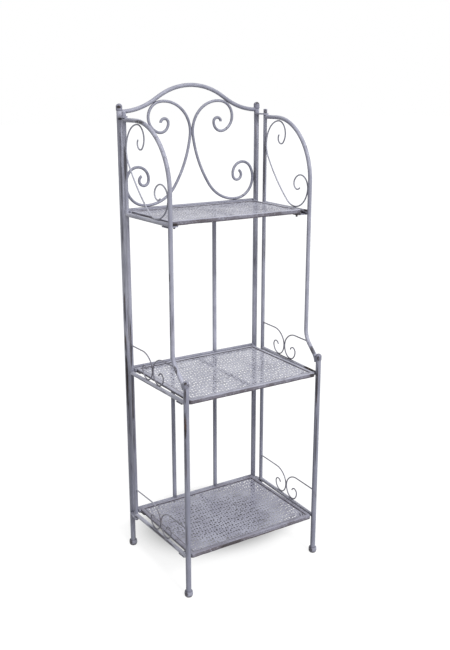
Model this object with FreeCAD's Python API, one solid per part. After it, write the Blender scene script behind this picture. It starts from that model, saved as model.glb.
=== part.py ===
import FreeCAD, Part

import math
import os

from FreeCAD import Vector

# Folding metal etagere: a welded back frame, two side frames that swing on vertical pins, and three
# perforated shelves that are hinged to the back frame and rest on ledges of the side frames.
# Millimetres. X to the right, -Y to the front, +Z up. The origin is on the floor, at the middle of
# the footprint of the four feet.

# ---------------------------------------------------------------- driving dimensions

# Overall frame
post_spacing = 472.0            # between the axes of the two back posts
leg_spacing = 460.0             # between the axes of the two front legs
frame_depth = 351.0             # from the back posts' axes to the front legs' axes
post_height = 1395.5            # floor to the top of a back post's cap
leg_rise = 65.0                 # from the middle side bars' axes up to the top of a front leg's cap

# Levels: the rear rails' axes, and how far the side bars' axes lie above them
bottom_rail_height = 122.0      # from the floor
middle_rail_height = 605.5      # from the floor
top_rail_drop = 304.0           # from the posts' tops down
bottom_bar_lift = 4.5
middle_bar_lift = -2.0
top_bar_lift = -5.0

# Tubes and rods
post_radius = 8.0
leg_radius = 8.0
upright_radius = 6.0            # rear tube of a side frame
rail_radius = 6.0               # rear rails
arch_radius = 6.0               # arched top rail and the arched side rails
side_bar_radius = 6.0
inner_bar_radius = 6.5
back_scroll_radius = 4.25
side_scroll_radius = 2.25
gallery_radius = 2.0
tube_wall = 1.5

# Back frame
inner_bar_offset = 79.0         # an inner upright bar's axis from the middle
arch_foot_drop = 23.0           # from the posts' tops down to the arched rail's ends
arch_rise = 73.5                # from the arched rail's ends up to its crown
arch_straight = 20.4            # straight stretch between its two bends, on each side
arch_foot_bend = 210.0          # bend radius beside the posts
back_scroll_headroom = 4.5      # from half the arch's rise down to the scrolls' tops

# Caps and feet
cap_radius = 9.2
cap_length = 20.0
cap_dome = 7.0                  # height of a cap's domed top
cap_edge = 1.2                  # bevel at a cap's lower edge
cap_spigot_length = 14.0
foot_radius = 12.7              # at the widest ring
foot_height = 17.0
foot_ring_height = 8.5          # floor to the widest ring
foot_sole_radius = 10.0
foot_lip = 3.6                  # wall at the foot's upper end
foot_floor = 3.0                # metal left under the tube

# Vertical hinges between the back frame and the side frames
hinge_setback = 40.5            # from the back posts' axes forward to the hinge axis
hinge_spacing = 482.5           # between the two hinge axes
hinge_plate_width = 20.0
hinge_plate_thickness = 4.0
hinge_pin_radius = 4.0
hinge_pin_seat = 25.0           # length of a pin held inside the upright
hinge_knob_radius = 6.0
hinge_knob_height = 13.0
hinge_knob_bevel = 1.5
hinge_nut_height = 8.0
hinge_nut_bevel = 2.0
top_plate_drop = 37.7           # from the posts' tops down to the top hinge plates' undersides
bottom_plate_drop = 5.9         # from the bottom rear rail's axis down to the plates' undersides

# Side frames
arched_rail_bend = 178.0
tube_setback = 243.0            # hinge axis to the straight front stretch of the arched rail
ogee_rise = 62.0                # from the leg's top up to where the front stretch bends out
ogee_upper_bend = 60.0
ogee_lower_bend = 40.0
ogee_slope = 47.0               # degrees from the vertical
ogee_end_slope = 8.0
ogee_run = 34.0
side_scroll_headroom = 1.5      # keeps the scroll clear of the arched rail's bend
gallery_height = 89.0           # a gallery wire's straight stretch above its side bar's axis

# Shelves
shelf_width = 439.0
deep_shelf_depth = 334.0        # bottom and middle shelf
top_shelf_depth = 246.0
shelf_back_gap = 18.0           # from the back posts' axes to a shelf's rear edge
rim_height = 12.5
rim_flange = 12.0               # width of the rim's top flange
rim_wall = 1.5
rim_corner_radius = 8.0         # front corners
sheet_thickness = 0.8
sheet_opening = 21.0            # side of a square opening
sheet_opening_pitch = 38.0      # wanted spacing of the openings, evened out over the sheet
cross_bar_thickness = 4.0       # flat bar that stands on edge
cross_bar_height = 8.0
shelf_hinge_inset = 8.0         # hinge axis in front of the shelf's rear edge
shelf_hinge_rise = 5.5          # hinge axis above the rim's lower edge
shelf_pin_radius = 2.5
shelf_pin_head_radius = 4.5     # outside the lug
shelf_pin_tail_radius = 3.5     # inside the rim
shelf_pin_head_height = 2.5
lug_thickness = 3.0
lug_radius = 6.0

# Ledges under the side bars
ledge_width = 28.0
ledge_thickness = 3.0
ledge_reach = 35.0              # inwards from the side bar's axis
ledge_overhang = 4.0            # outwards from the side bar's axis
deep_ledge_inset = 20.0         # from a deep shelf's front edge back to the ledge's
top_ledge_advance = 8.0         # from the top shelf's front edge forward to the ledge's
ledge_corner_radius = 8.0
stud_radius = 3.0
stud_length = 6.0

# Clearances
weld_gap = 0.05                 # between two pieces that are welded to each other
running_gap = 0.05              # radial play of a pin that turns in its hole
moving_gap = 0.3                # between faces of pieces that move past each other
overcut = 1.0                   # how far a cutting shape runs past the faces that it cuts

# Scrolls are chains of tangent arcs: (bend radius, turn in degrees). Each chain is drawn at full
# size and then fitted to the space between the rods that it is welded to.
BACK_SCROLL = ((12.9, 175), (27.3, 111), (45.7, 152), (89.6, 107), (360.0, 26),
               (113.6, 62), (64.2, 116), (35.6, 162), (15.4, 226))
BACK_SCROLL_HEADING = 92.6
SIDE_SCROLL = ((15.8, 176), (36.6, 138), (65.7, 46), (74.6, 74), (541.6, 17),
               (64.6, 118), (36.7, 160), (17.3, 170))
SIDE_SCROLL_HEADING = -130.8
GALLERY_HOOK = ((66.0, -50), (42.0, -85), (30.0, -130), (14.5, -168))

# ---------------------------------------------------------------- worked-out places

post_x = post_spacing / 2
leg_x = leg_spacing / 2
back_y = frame_depth / 2
hinge_x = hinge_spacing / 2
hinge_y = back_y - hinge_setback
leg_setback = math.hypot(hinge_x - leg_x, frame_depth - hinge_setback)
toe_in = math.degrees(math.atan2(hinge_x - leg_x, frame_depth - hinge_setback))
top_rail_height = post_height - top_rail_drop
bottom_bar_height = bottom_rail_height + bottom_bar_lift
middle_bar_height = middle_rail_height + middle_bar_lift
top_bar_height = top_rail_height + top_bar_lift
leg_height = middle_bar_height + leg_rise
top_plate_height = post_height - top_plate_drop
bottom_plate_height = bottom_rail_height - bottom_plate_drop
shelf_hinge_y = back_y - shelf_back_gap - shelf_hinge_inset
upright_top = top_plate_height - moving_gap
upright_bottom = bottom_plate_height + hinge_plate_thickness + moving_gap
arched_rail_height = upright_top - arch_radius
ogee_height = leg_height + ogee_rise

# Heights of the rear rail's and side bars' axes, and how far a shelf's and its ledges' front edges
# lie in front of the back posts' axes
LEVELS = (
    {"name": "bottom", "rail": bottom_rail_height, "bar": bottom_bar_height,
     "shelf_front": shelf_back_gap + deep_shelf_depth,
     "ledge_front": shelf_back_gap + deep_shelf_depth - deep_ledge_inset},
    {"name": "middle", "rail": middle_rail_height, "bar": middle_bar_height,
     "shelf_front": shelf_back_gap + deep_shelf_depth,
     "ledge_front": shelf_back_gap + deep_shelf_depth - deep_ledge_inset},
    {"name": "top", "rail": top_rail_height, "bar": top_bar_height,
     "shelf_front": shelf_back_gap + top_shelf_depth,
     "ledge_front": shelf_back_gap + top_shelf_depth + top_ledge_advance},
)


def shelf_underside(level):
    """Height of a shelf rim's lower edge, which rests on the ledges under the side bars."""
    return level["bar"] - side_bar_radius + moving_gap


def shelf_hinge_height(level):
    return shelf_underside(level) + shelf_hinge_rise


# ---------------------------------------------------------------- shape helpers

def rod(start, end, radius):
    """Solid round rod between two points."""
    along = end - start
    return Part.makeCylinder(radius, along.Length, start, along)


def tube(start, end, radius, wall=tube_wall):
    return rod(start, end, radius).cut(rod(start, end, radius - wall))


def box_between(low, high):
    size = high - low
    return Part.makeBox(size.x, size.y, size.z, low)


def turned(profile):
    """Solid of revolution about Z from (radius, height) corners; a third value bulges the line
    that leads to that corner into an arc through (radius, height)."""
    edges = []
    points = [Vector(p[0], 0, p[1]) for p in profile]
    for i, end in enumerate(profile):
        a, b = points[i - 1], points[i]
        if len(end) == 3:
            edges.append(Part.Arc(a, Vector(end[2][0], 0, end[2][1]), b).toShape())
        else:
            edges.append(Part.LineSegment(a, b).toShape())
    face = Part.Face(Part.Wire(edges))
    return face.revolve(Vector(0, 0, 0), Vector(0, 0, 1), 360)


def path_points(start, heading, steps):
    """Corner points of a chain of steps in the XZ plane, each with the heading there and the arc's
    centre. A step is (radius, turn) for an arc or (length,) for a straight run."""
    here = Vector(start[0], 0, start[1])
    angle = heading
    legs = []
    for step in steps:
        forward = Vector(math.cos(math.radians(angle)), 0, math.sin(math.radians(angle)))
        if len(step) == 1:
            legs.append((here, None, 0))
            here = here + forward * step[0]
        else:
            radius, turn = step
            side = 1 if turn > 0 else -1
            centre = here + Vector(-forward.z, 0, forward.x) * radius * side
            legs.append((here, centre, turn))
            spin = FreeCAD.Rotation(Vector(0, -1, 0), turn)
            here = centre + spin.multVec(here - centre)
            angle += turn
    return legs, here


def bent_rod(start, heading, steps, radius):
    """Solid rod along a chain of straight runs and tangent arcs in the XZ plane."""
    legs, end = path_points(start, heading, steps)
    forward = Vector(math.cos(math.radians(heading)), 0, math.sin(math.radians(heading)))
    ring = Part.makeCircle(radius, legs[0][0], forward)
    skins = [Part.Face(Part.Wire(ring))]
    stops = [leg[0] for leg in legs[1:]] + [end]
    for (here, centre, turn), there in zip(legs, stops):
        ring_after = ring.copy()
        if centre is None:
            skins.append(ring.extrude(there - here))
            ring_after.translate(there - here)
        else:
            skins.append(ring.revolve(centre, Vector(0, -1, 0), turn))
            ring_after.rotate(centre, Vector(0, -1, 0), turn)
        ring = ring_after
    skins.append(Part.Face(Part.Wire(ring)))
    shell = Part.makeShell(skins)
    shell.sewShape()
    solid = Part.Solid(shell)
    if solid.Volume < 0:
        solid.reverse()
    return solid


def bent_tube(start, heading, steps, radius, wall=tube_wall):
    outside = bent_rod(start, heading, steps, radius)
    return outside.cut(bent_rod(start, heading, steps, radius - wall))


def path_extent(heading, steps):
    """Lowest and highest x and z of a path that starts at (0, 0), from a step every degree or so."""
    legs, end = path_points((0, 0), heading, steps)
    xs = [end.x]
    zs = [end.z]
    for here, centre, turn in legs:
        parts = int(abs(turn)) + 1
        for i in range(parts):
            point = here
            if centre is not None:
                spin = FreeCAD.Rotation(Vector(0, -1, 0), turn * i / parts)
                point = centre + spin.multVec(here - centre)
            xs.append(point.x)
            zs.append(point.z)
    return min(xs), max(xs), min(zs), max(zs)


def fitted_scroll(steps, heading, low, high, radius):
    """Scroll of round rod, scaled to fill the (x, z) space from low to high and seated on the
    space's lower edge and left edge."""
    x_low, x_high, z_low, z_high = path_extent(heading, steps)
    width = high[0] - low[0] - 2 * (radius + weld_gap)
    height = high[1] - low[1] - 2 * (radius + weld_gap)
    scale = min(width / (x_high - x_low), height / (z_high - z_low))
    start = (low[0] + radius + weld_gap - x_low * scale, low[1] + radius + weld_gap - z_low * scale)
    scaled = [(bend * scale, turn) for bend, turn in steps]
    return bent_rod(start, heading, scaled, radius)


def coped(shape, *others):
    """The shape, cut back to sit against round members given as (start, end, radius)."""
    for start, end, radius in others:
        shape = shape.cut(rod(start, end, radius + weld_gap))
    return shape


def mirrored(shape):
    return shape.mirror(Vector(0, 0, 0), Vector(1, 0, 0))


def write(name, *shapes):
    shape = shapes[0] if len(shapes) == 1 else Part.makeCompound(shapes)
    shape.exportStep(os.path.join("parts", name + ".step"))


# ---------------------------------------------------------------- back frame

def post_line(x):
    return Vector(x, back_y, foot_floor), Vector(x, back_y, post_height - cap_length)


def post_member(x):
    return (*post_line(x), post_radius)


def cap_member(x):
    """Round envelope of a back post's cap."""
    return Vector(x, back_y, post_height - cap_length), Vector(x, back_y, post_height), cap_radius


def rail_line(level):
    return Vector(-post_x, back_y, level["rail"]), Vector(post_x, back_y, level["rail"])


def end_cap(member_radius, top):
    """Domed cap with a spigot that plugs the tube; its top is at the given height."""
    base = top - cap_length
    spigot = member_radius - tube_wall - weld_gap
    dome_radius = (cap_radius ** 2 + cap_dome ** 2) / (2 * cap_dome)
    half_angle = math.asin(cap_radius / dome_radius) / 2
    on_dome = (dome_radius * math.sin(half_angle), top - dome_radius * (1 - math.cos(half_angle)))
    return turned((
        (0, base - cap_spigot_length),
        (spigot, base - cap_spigot_length),
        (spigot, base + weld_gap),
        (cap_radius - cap_edge, base + weld_gap),
        (cap_radius, base + cap_edge),
        (cap_radius, top - cap_dome),
        (0, top, on_dome),
    ))


def beside_ring(ring, end):
    """Middle point of the arc from a widest ring, where it is upright, to a narrower end."""
    inward = ring[0] - end[0]
    rise = end[1] - ring[1]
    bend = (inward ** 2 + rise ** 2) / (2 * inward)
    half_angle = math.asin(rise / bend) / 2
    return ring[0] - bend * (1 - math.cos(half_angle)), ring[1] + bend * math.sin(half_angle)


def foot(member_radius):
    """Round bulging foot with a socket for the tube."""
    socket = member_radius + weld_gap
    sole = (foot_sole_radius, 0)
    ring = (foot_radius, foot_ring_height)
    lip = (socket + foot_lip, foot_height)
    return turned((
        (0, 0),
        sole,
        (*ring, beside_ring(ring, sole)),
        (*lip, beside_ring(ring, lip)),
        (socket, foot_height),
        (socket, foot_floor - weld_gap),
        (0, foot_floor - weld_gap),
    ))


def arched_top_rail():
    """Rail between the posts that rises in an ogee to a round crown."""
    # Two bends and the straight stretch between them make up one half: bends * sin + straight * cos
    # is its run and bends * (1 - cos) + straight * sin its rise, which the half slope solves.
    slope = 2 * math.atan(arch_rise / (post_x + arch_straight))
    bends = (post_x - arch_straight * math.cos(slope)) / math.sin(slope)
    crown_bend = bends - arch_foot_bend
    turn = math.degrees(slope)
    steps = ((arch_foot_bend, turn), (arch_straight,), (crown_bend, -turn),
             (crown_bend, -turn), (arch_straight,), (arch_foot_bend, turn))
    rail = bent_tube((-post_x, post_height - arch_foot_drop), 0, steps, arch_radius)
    rail.translate(Vector(0, back_y, 0))
    return coped(rail, post_member(-post_x), post_member(post_x),
                 cap_member(-post_x), cap_member(post_x))


def back_scroll():
    """Right-hand scroll, between the middle, the right post, the top rail and the arched rail."""
    rail_top = LEVELS[2]["rail"] + rail_radius
    top = post_height - arch_foot_drop + arch_rise / 2 - back_scroll_headroom
    shape = fitted_scroll(BACK_SCROLL, BACK_SCROLL_HEADING, (0, rail_top),
                          (post_x - post_radius, top), back_scroll_radius)
    shape.translate(Vector(0, back_y, 0))
    return shape


def hinge_plate(underside):
    """Right-hand plate from the back post forward round the hinge axis."""
    half = hinge_plate_width / 2
    axis = Vector(hinge_x, hinge_y, underside)
    lean = (axis - Vector(post_x, back_y, underside)).normalize()
    across = Vector(-lean.y, lean.x, 0) * half
    # the rear edge runs along the front of the rear rails
    rear_y = back_y - rail_radius - weld_gap
    rear = [side + lean * ((rear_y - side.y) / lean.y) for side in (axis - across, axis + across)]
    outline = Part.Wire([
        Part.LineSegment(rear[0], axis - across).toShape(),
        Part.Arc(axis - across, axis + lean * half, axis + across).toShape(),
        Part.LineSegment(axis + across, rear[1]).toShape(),
        Part.LineSegment(rear[1], rear[0]).toShape(),
    ])
    plate = Part.Face(outline).extrude(Vector(0, 0, hinge_plate_thickness))
    hole = Part.makeCylinder(hinge_pin_radius + running_gap, hinge_plate_thickness, axis)
    return coped(plate.cut(hole), post_member(post_x))


def shelf_lug(level):
    """Right-hand lug from the rear rail to the shelf's hinge pin, outside the shelf's rim."""
    inner = shelf_width / 2 + moving_gap
    hinge = Vector(inner, shelf_hinge_y, shelf_hinge_height(level))
    rail = Vector(inner, back_y, level["rail"])
    lean = rail - hinge
    up = Vector(0, -lean.z, lean.y).normalize() * -lug_radius
    nose = hinge - lean.normalize() * lug_radius
    outline = Part.Wire([
        Part.LineSegment(rail + up, hinge + up).toShape(),
        Part.Arc(hinge + up, nose, hinge - up).toShape(),
        Part.LineSegment(hinge - up, rail - up).toShape(),
        Part.LineSegment(rail - up, rail + up).toShape(),
    ])
    plate = Part.Face(outline).extrude(Vector(lug_thickness, 0, 0))
    hole = Part.makeCylinder(shelf_pin_radius + weld_gap, lug_thickness, hinge, Vector(1, 0, 0))
    return coped(plate.cut(hole), (*rail_line(level), rail_radius))


def shelf_pin(level):
    """Right-hand rivet that holds the shelf's rim to its lug."""
    inner = shelf_width / 2 - rim_wall - moving_gap
    outer = shelf_width / 2 + moving_gap + lug_thickness + weld_gap
    axis = Vector(1, 0, 0)
    start = Vector(inner - shelf_pin_head_height, shelf_hinge_y, shelf_hinge_height(level))
    tail = Part.makeCylinder(shelf_pin_tail_radius, shelf_pin_head_height, start, axis)
    shank = Part.makeCylinder(shelf_pin_radius, outer - start.x, start, axis)
    head_start = Vector(outer, start.y, start.z)
    head = Part.makeCylinder(shelf_pin_head_radius, shelf_pin_head_height, head_start, axis)
    return tail.fuse([shank, head]).removeSplitter()


def write_back_frame():
    right_post = tube(*post_line(post_x), post_radius)
    write("right_back_post", right_post)
    write("left_back_post", mirrored(right_post))

    cap = end_cap(post_radius, post_height)
    cap.translate(Vector(post_x, back_y, 0))
    write("back_post_caps", cap, mirrored(cap))

    right_foot = foot(post_radius)
    right_foot.translate(Vector(post_x, back_y, 0))
    write("back_feet", right_foot, mirrored(right_foot))

    write("arched_top_rail", arched_top_rail())
    for level in LEVELS:
        rail = tube(*rail_line(level), rail_radius)
        write(level["name"] + "_rear_rail", coped(rail, post_member(-post_x), post_member(post_x)))
        lug = shelf_lug(level)
        write(level["name"] + "_shelf_lugs", lug, mirrored(lug))
        pin = shelf_pin(level)
        write(level["name"] + "_shelf_pins", pin, mirrored(pin))

    for name, below, above in (("lower", LEVELS[0], LEVELS[1]), ("upper", LEVELS[1], LEVELS[2])):
        start = Vector(inner_bar_offset, back_y, below["rail"])
        end = Vector(inner_bar_offset, back_y, above["rail"])
        bar = coped(tube(start, end, inner_bar_radius),
                    (*rail_line(below), rail_radius), (*rail_line(above), rail_radius))
        write("right_" + name + "_inner_bar", bar)
        write("left_" + name + "_inner_bar", mirrored(bar))

    scroll = back_scroll()
    write("right_back_scroll", scroll)
    write("left_back_scroll", mirrored(scroll))

    for name, height in (("top", top_plate_height), ("bottom", bottom_plate_height)):
        plate = hinge_plate(height)
        write("right_" + name + "_hinge_plate", plate)
        write("left_" + name + "_hinge_plate", mirrored(plate))


# ---------------------------------------------------------------- side frames
# A side frame is drawn flat: x forward from the hinge axis, y outwards, z up.

def in_place(shape):
    """Stand a flat-drawn shape at the right-hand hinge axis, with the frame's slight toe-in."""
    shape.rotate(Vector(0, 0, 0), Vector(0, 0, 1), -90 - toe_in)
    shape.translate(Vector(hinge_x, hinge_y, 0))
    return shape


UPRIGHT = (Vector(0, 0, upright_bottom), Vector(0, 0, upright_top), upright_radius)
LEG = (Vector(leg_setback, 0, foot_floor), Vector(leg_setback, 0, leg_height - cap_length),
       leg_radius)
LEG_CAP = (Vector(leg_setback, 0, leg_height - cap_length), Vector(leg_setback, 0, leg_height),
           cap_radius)
FRONT_TUBE = (Vector(tube_setback, 0, ogee_height),
              Vector(tube_setback, 0, arched_rail_height - arched_rail_bend), arch_radius)


def upright():
    start, end, radius = UPRIGHT
    return tube(start, end, radius, radius - hinge_pin_radius - weld_gap)


def hinge_pins():
    """Top pin with a tall knob and bottom pin with a nut; both plug the upright."""
    top_face = top_plate_height + hinge_plate_thickness + moving_gap
    stem_low = Vector(0, 0, upright_top - hinge_pin_seat)
    top_stem = rod(stem_low, Vector(0, 0, top_face), hinge_pin_radius)
    knob = turned((
        (0, top_face),
        (hinge_knob_radius, top_face),
        (hinge_knob_radius, top_face + hinge_knob_height - hinge_knob_bevel),
        (hinge_knob_radius - hinge_knob_bevel, top_face + hinge_knob_height),
        (0, top_face + hinge_knob_height),
    ))
    bottom_face = bottom_plate_height - moving_gap
    stem_high = Vector(0, 0, upright_bottom + hinge_pin_seat)
    bottom_stem = rod(Vector(0, 0, bottom_face), stem_high, hinge_pin_radius)
    nut = turned((
        (0, bottom_face),
        (hinge_knob_radius, bottom_face),
        (hinge_knob_radius, bottom_face - hinge_nut_height + hinge_nut_bevel),
        (hinge_knob_radius - hinge_nut_bevel, bottom_face - hinge_nut_height),
        (0, bottom_face - hinge_nut_height),
    ))
    return top_stem.fuse(knob).removeSplitter(), bottom_stem.fuse(nut).removeSplitter()


def arched_rail_steps():
    """Forward from the upright's top, over a quarter bend, down, and out to the front leg."""
    first_run = tube_setback - arched_rail_bend
    drop = arched_rail_height - arched_rail_bend - ogee_height
    return ((first_run,), (arched_rail_bend, -90), (drop,), (ogee_upper_bend, ogee_slope),
            (ogee_run,), (ogee_lower_bend, ogee_end_slope - ogee_slope))


def arched_side_rail():
    rail = bent_tube((0, arched_rail_height), 0, arched_rail_steps(), arch_radius)
    return coped(rail, UPRIGHT, LEG, LEG_CAP)


def side_bar(level):
    end_member = LEG if level["name"] != "top" else FRONT_TUBE
    start = Vector(0, 0, level["bar"])
    end = Vector(end_member[0].x, 0, level["bar"])
    return coped(tube(start, end, side_bar_radius), UPRIGHT, end_member)


def side_scroll():
    low = (upright_radius, LEVELS[2]["bar"] + side_bar_radius)
    high = (tube_setback - arch_radius, arched_rail_height - arch_radius - side_scroll_headroom)
    return fitted_scroll(SIDE_SCROLL, SIDE_SCROLL_HEADING, low, high, side_scroll_radius)


def gallery_front(level):
    """Distance from the hinge axis to the axis of the tube that carries the front gallery wire."""
    if level["name"] == "bottom":
        return leg_setback
    drop = ogee_height - level["bar"] - gallery_height
    bend_drop = ogee_upper_bend * math.sin(math.radians(ogee_slope))
    turn = math.asin(min(max(drop, 0), bend_drop) / ogee_upper_bend)
    past_bend = max(drop - bend_drop, 0) * math.tan(math.radians(ogee_slope))
    return tube_setback + ogee_upper_bend * (1 - math.cos(turn)) + past_bend


def gallery(level):
    """Rear and front gallery wires: a straight stretch that ends in a hook on the side bar."""
    height = level["bar"] + gallery_height
    x_low, x_high, z_low, z_high = path_extent(0, GALLERY_HOOK)
    scale = (gallery_height - side_bar_radius - gallery_radius - weld_gap) / (z_high - z_low)
    hook = [(bend * scale, turn) for bend, turn in GALLERY_HOOK]
    middle = gallery_front(level) / 2
    run = middle - gallery_radius - weld_gap / 2 - x_high * scale
    wire = bent_rod((0, height), 0, [(run,)] + hook, gallery_radius)
    opposite = wire.mirror(Vector(middle, 0, 0), Vector(1, 0, 0))
    rail_skin = bent_rod((0, arched_rail_height), 0, arched_rail_steps(), arch_radius + weld_gap)
    return coped(wire, UPRIGHT), coped(opposite, LEG).cut(rail_skin)


def ledge(level):
    """Flat ledge under a side bar, reaching inwards under the shelf, with a rivet at its end."""
    front = level["ledge_front"] - hinge_setback
    top = level["bar"] - side_bar_radius - weld_gap
    strip = box_between(Vector(front - ledge_width, -ledge_reach, top - ledge_thickness),
                        Vector(front, ledge_overhang, top))
    corners = [edge for edge in strip.Edges
               if edge.BoundBox.YMax < -ledge_reach / 2 and edge.BoundBox.ZLength > ledge_thickness / 2]
    strip = strip.makeFillet(ledge_corner_radius, corners)
    stud_at = Vector(front - ledge_width / 2, ledge_corner_radius - ledge_reach,
                     top - ledge_thickness - stud_length)
    stud = Part.makeCylinder(stud_radius, stud_length + ledge_thickness / 2, stud_at)
    return strip.fuse(stud).removeSplitter()


def write_pair(name, *flat_shapes):
    """Write the right-hand piece and its mirror image."""
    shapes = [in_place(shape) for shape in flat_shapes]
    write("right_" + name, *shapes)
    write("left_" + name, *[mirrored(shape) for shape in shapes])


def write_side_frames():
    write_pair("upright", upright())
    write_pair("hinge_pins", *hinge_pins())
    write_pair("arched_side_rail", arched_side_rail())
    write_pair("front_leg", tube(*LEG))
    cap = end_cap(leg_radius, leg_height)
    cap.translate(Vector(leg_setback, 0, 0))
    write_pair("front_leg_cap", cap)
    leg_foot = foot(leg_radius)
    leg_foot.translate(Vector(leg_setback, 0, 0))
    write_pair("front_foot", leg_foot)
    for level in LEVELS:
        write_pair(level["name"] + "_side_bar", side_bar(level))
        if level["name"] != "top":
            write_pair(level["name"] + "_gallery", *gallery(level))
    write_pair("side_scroll", side_scroll())
    write_pair("ledges", *[ledge(level) for level in LEVELS])


# ---------------------------------------------------------------- shelves

def rim_bounds(level):
    """Lowest and highest (x, y) of a shelf's outline."""
    return ((-shelf_width / 2, back_y - level["shelf_front"]), (shelf_width / 2, back_y - shelf_back_gap))


def shelf_outline(level, inset, bottom, height):
    """Prism of the shelf's outline, drawn in by the inset; the two front corners are rounded."""
    (x_low, y_low), (x_high, y_high) = rim_bounds(level)
    low = Vector(x_low + inset, y_low + inset, bottom)
    high = Vector(x_high - inset, y_high - inset, bottom + height)
    block = box_between(low, high)
    radius = rim_corner_radius - inset
    if radius <= 0:
        return block
    front = [edge for edge in block.Edges
             if edge.BoundBox.YMax < low.y + radius and edge.BoundBox.ZLength > height / 2]
    return block.makeFillet(radius, front)


def mitre_prisms(level, bottom):
    """Four prisms that part the rim at its mitred corners: front, rear, left and right."""
    (x_low, y_low), (x_high, y_high) = rim_bounds(level)
    reach = rim_flange + overcut
    pull = weld_gap
    front = ((x_low + pull, y_low), (x_high - pull, y_low),
             (x_high - pull - reach, y_low + reach), (x_low + pull + reach, y_low + reach))
    left = ((x_low, y_low), (x_low + reach, y_low + reach),
            (x_low + reach, y_high - reach), (x_low, y_high))
    middle_y = (y_low + y_high) / 2
    rear = [(x, 2 * middle_y - y) for x, y in front]
    right = [(-x, y) for x, y in left]
    prisms = []
    for corners in (front, rear, left, right):
        points = [Vector(x, y, bottom - overcut) for x, y in corners]
        face = Part.Face(Part.makePolygon(points + points[:1]))
        prisms.append(face.extrude(Vector(0, 0, rim_height + 2 * overcut)))
    return prisms


def shelf_rim(level):
    """Rim of a shelf: an upright strip all round and a flat flange welded on top of it, each in
    four mitred lengths."""
    bottom = shelf_underside(level)
    wall_height = rim_height - rim_wall
    wall = shelf_outline(level, 0, bottom, wall_height - weld_gap)
    wall = wall.cut(shelf_outline(level, rim_wall, bottom - overcut, wall_height + 2 * overcut))
    for side in (-1, 1):
        start = Vector(side * (shelf_width / 2 + overcut), shelf_hinge_y, shelf_hinge_height(level))
        end = Vector(side * (shelf_width / 2 - rim_wall - overcut), start.y, start.z)
        wall = wall.cut(rod(start, end, shelf_pin_radius + running_gap))
    flange = shelf_outline(level, 0, bottom + wall_height, rim_wall)
    flange = flange.cut(shelf_outline(level, rim_flange, bottom, rim_height + overcut))
    return [strip.common(prism) for strip in (wall, flange) for prism in mitre_prisms(level, bottom)]


def sheet_openings(level, top):
    """Plain grid of square openings, inside the rim's flange."""
    (x_low, y_low), (x_high, y_high) = rim_bounds(level)
    width = x_high - x_low - 2 * rim_flange
    depth = y_high - y_low - 2 * rim_flange
    columns = round(width / sheet_opening_pitch)
    rows = round(depth / sheet_opening_pitch)
    reach = Vector(sheet_opening / 2, sheet_opening / 2, sheet_thickness + overcut)
    openings = []
    for column in range(columns):
        x = x_low + rim_flange + width * (column + 0.5) / columns
        for row in range(rows):
            middle = Vector(x, y_low + rim_flange + depth * (row + 0.5) / rows, top)
            openings.append(box_between(middle - reach, middle + reach))
    return openings


def shelf_sheet(level):
    """Thin sheet inside the rim, under its flange."""
    top = shelf_underside(level) + rim_height - rim_wall - weld_gap
    sheet = shelf_outline(level, rim_wall + weld_gap, top - sheet_thickness, sheet_thickness)
    return sheet.cut(sheet_openings(level, top))


def shelf_cross_bar(level):
    """Flat bar on edge under the middle of the sheet, from the rim's front wall to its rear wall."""
    top = shelf_underside(level) + rim_height - rim_wall - sheet_thickness - 2 * weld_gap
    inset = rim_wall + weld_gap
    (_, y_low), (_, y_high) = rim_bounds(level)
    return box_between(Vector(-cross_bar_thickness / 2, y_low + inset, top - cross_bar_height),
                       Vector(cross_bar_thickness / 2, y_high - inset, top))


def write_shelves():
    for level in LEVELS:
        write(level["name"] + "_shelf_rim", *shelf_rim(level))
        write(level["name"] + "_shelf_sheet", shelf_sheet(level))
        write(level["name"] + "_shelf_cross_bar", shelf_cross_bar(level))


os.makedirs("parts", exist_ok=True)
write_back_frame()
write_side_frames()
write_shelves()
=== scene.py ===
import math
import random

import bmesh
import bpy
import numpy as np
from mathutils import Matrix, Vector, geometry, noise


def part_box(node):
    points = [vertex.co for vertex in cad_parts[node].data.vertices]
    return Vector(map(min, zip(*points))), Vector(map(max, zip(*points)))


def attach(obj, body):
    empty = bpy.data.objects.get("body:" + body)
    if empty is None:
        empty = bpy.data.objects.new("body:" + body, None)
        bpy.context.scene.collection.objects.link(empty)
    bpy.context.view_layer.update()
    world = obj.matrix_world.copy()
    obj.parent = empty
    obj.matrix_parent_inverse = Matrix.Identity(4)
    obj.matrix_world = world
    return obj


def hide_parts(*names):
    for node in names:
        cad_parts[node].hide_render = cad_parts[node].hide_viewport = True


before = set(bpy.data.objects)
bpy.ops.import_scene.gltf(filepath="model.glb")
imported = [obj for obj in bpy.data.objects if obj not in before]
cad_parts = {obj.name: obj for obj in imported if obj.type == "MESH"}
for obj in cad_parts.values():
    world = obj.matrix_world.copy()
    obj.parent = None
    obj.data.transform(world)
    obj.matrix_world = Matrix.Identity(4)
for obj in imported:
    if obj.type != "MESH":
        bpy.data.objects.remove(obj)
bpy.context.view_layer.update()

# Looks of a folding metal etagere in antiqued pale paint: real holes in the shelves' sheets, rolled
# shelf rims, worn paint, and a plain studio. Metres; +Z up, -Y to the front.

# ---------------------------------------------------------------- sizes

LEVELS = ("bottom", "middle", "top")
SAME_POINT = 1e-6               # points closer than this are one

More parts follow.
